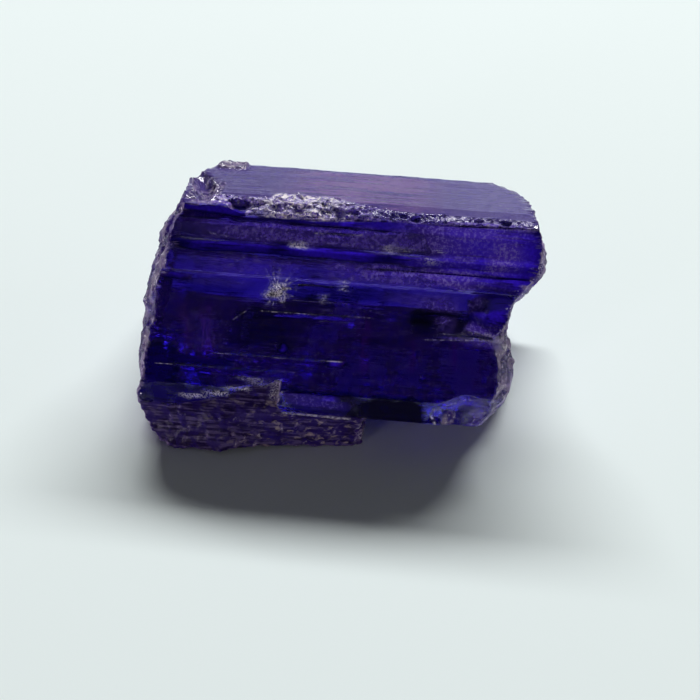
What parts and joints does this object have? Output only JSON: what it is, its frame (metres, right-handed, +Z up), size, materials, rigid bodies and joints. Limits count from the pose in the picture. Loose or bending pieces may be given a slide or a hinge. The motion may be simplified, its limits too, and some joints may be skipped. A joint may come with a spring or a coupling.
{
  "type": "rough tanzanite crystal",
  "caption": "Rough blue-violet tanzanite: a short striated prism with a glossy top face, a leaning main face, broken ends and a rough block below, resting on its flat broken underside.",
  "frame": {"origin": "centre of the stone's box, on the surface it rests on", "axes": "+X along the crystal, +Z up, -Y towards the broad leaning main face"},
  "size_m": [0.018, 0.0124, 0.0094],
  "materials": {
    "tanzanite": "clear deep blue-violet crystal, glossy growth faces with fine lengthwise striations, frosted where worn or broken"
  },
  "bodies": {
    "root": {"tanzanite_crystal": "tanzanite"}
  },
  "joints": []
}
